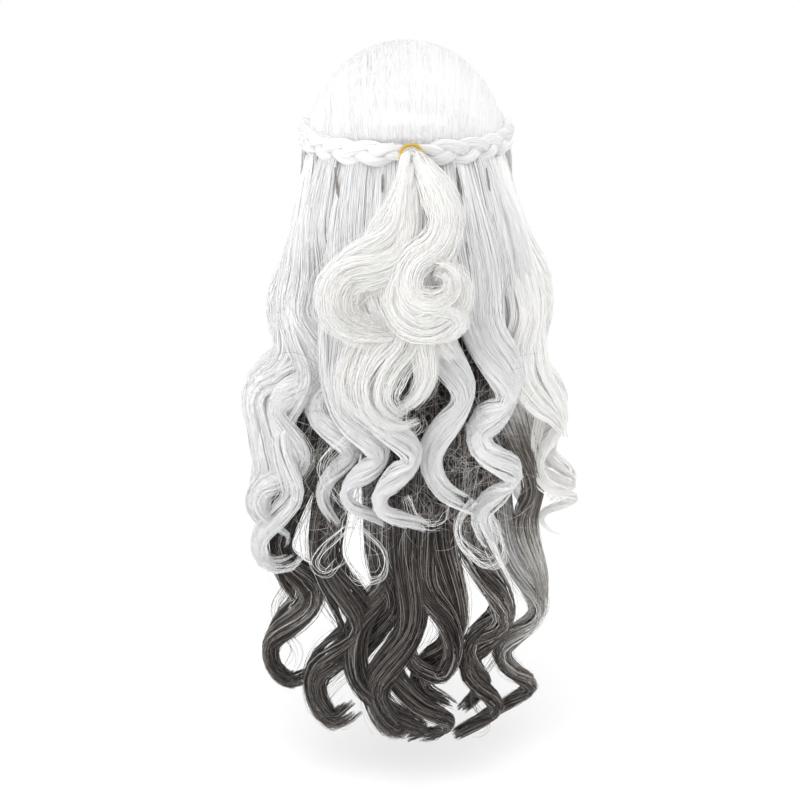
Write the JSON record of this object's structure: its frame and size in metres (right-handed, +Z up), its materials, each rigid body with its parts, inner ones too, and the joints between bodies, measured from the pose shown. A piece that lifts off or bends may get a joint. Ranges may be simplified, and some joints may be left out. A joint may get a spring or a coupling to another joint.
{
  "type": "costume wig",
  "caption": "Long wavy two-tone costume wig, white over charcoal, with a half-up tail tied where two side braids meet and a net cap inside.",
  "frame": {"origin": "centre of the head opening of the cap, where the wearer's head goes in", "axes": "+Z up through the crown, +Y the way the wearer faces, +X towards the wearer's right; the hair falls towards -Z"},
  "size_m": [0.2937, 0.2758, 0.6165],
  "materials": {
    "white_hair": "silky synthetic hair fibre, pure white",
    "cream_hair": "silky synthetic hair fibre, warm white",
    "ash_hair": "silky synthetic hair fibre, white fading to ash brown",
    "dark_hair": "silky synthetic hair fibre, charcoal brown",
    "cap_net": "open rose net",
    "lace_band": "soft woven band",
    "nape_elastic": "woven elastic",
    "parting_skin": "fine mesh",
    "white_weft": "stitched hair weft",
    "dark_weft": "stitched hair weft",
    "casing_cloth": "sewn cloth tunnel",
    "strap_elastic": "woven elastic strap",
    "hook_plastic": "moulded",
    "loop_tape": "sewn tape",
    "gold_elastic": "smooth elastic band"
  },
  "bodies": {
    "cap": {"back_net": "cap_net", "front_band": "lace_band", "nape_band": "nape_elastic", "parting_strip": "parting_skin", "white_wefts": "white_weft", "dark_wefts": "dark_weft", "adjuster_loops": "loop_tape", "crown_net_left": "cap_net", "crown_net_right": "cap_net", "side_net_left": "cap_net", "side_net_right": "cap_net", "ear_tab_left": "cap_net", "ear_tab_right": "cap_net", "adjuster_casing_left": "casing_cloth", "adjuster_casing_right": "casing_cloth", "crown_hair_left": "white_hair", "crown_hair_back": "white_hair", "crown_hair_right": "white_hair", "braid_left": "white_hair", "braid_right": "white_hair", "hair_bundle": "white_hair", "hair_tie": "gold_elastic", "white_lock_2": "white_hair", "white_lock_3": "white_hair", "white_lock_4": "white_hair", "white_lock_5": "white_hair", "white_lock_6": "white_hair", "white_lock_7": "ash_hair", "dark_lock_1": "dark_hair", "dark_lock_2": "dark_hair", "dark_lock_3": "dark_hair", "dark_lock_4": "dark_hair", "dark_lock_5": "dark_hair", "dark_lock_6": "dark_hair", "dark_lock_7": "dark_hair", "temple_lock_left": "white_hair", "fringe_left": "white_hair", "fringe_tip_left": "white_hair", "temple_lock_right": "white_hair", "fringe_right": "white_hair", "fringe_tip_right": "white_hair"},
    "ponytail": {"tail_lock_1": "cream_hair", "tail_lock_2": "cream_hair", "tail_lock_3": "cream_hair", "tail_lock_4": "cream_hair", "tail_lock_5": "cream_hair"},
    "left_adjuster": {"adjuster_strap_left": "strap_elastic", "adjuster_hook_left": "hook_plastic"},
    "right_adjuster": {"adjuster_strap_right": "strap_elastic", "adjuster_hook_right": "hook_plastic"},
    "left_outer_lock": {"white_lock_1": "white_hair"},
    "right_outer_lock": {"white_lock_8": "white_hair"},
    "left_face_lock": {"face_lock_left": "white_hair"},
    "right_face_lock": {"face_lock_right": "white_hair"}
  },
  "joints": [
    {"name": "ponytail_swing", "type": "hinge", "parent": "cap", "child": "ponytail", "pos_m": [0.004, -0.13, 0.08], "axis": [-1, 0, 0], "range_deg": [0, 60]},
    {"name": "left_adjuster_slide", "type": "slide", "parent": "cap", "child": "left_adjuster", "axis": [0.8823, -0.4708, 0], "range_m": [0, 0.014]},
    {"name": "right_adjuster_slide", "type": "slide", "parent": "cap", "child": "right_adjuster", "axis": [-0.8823, -0.4708, 0], "range_m": [0, 0.014]},
    {"name": "left_outer_lock_swing", "type": "hinge", "parent": "cap", "child": "left_outer_lock", "pos_m": [-0.08, -0.046, 0.062], "axis": [0, 1, 0], "range_deg": [0, 20]},
    {"name": "right_outer_lock_swing", "type": "hinge", "parent": "cap", "child": "right_outer_lock", "pos_m": [0.08, -0.046, 0.062], "axis": [0, -1, 0], "range_deg": [0, 20]},
    {"name": "left_face_lock_swing", "type": "hinge", "parent": "cap", "child": "left_face_lock", "pos_m": [-0.083, 0.03, 0.062], "axis": [0, 1, 0], "range_deg": [0, 20]},
    {"name": "right_face_lock_swing", "type": "hinge", "parent": "cap", "child": "right_face_lock", "pos_m": [0.083, 0.03, 0.062], "axis": [0, -1, 0], "range_deg": [0, 20]}
  ]
}
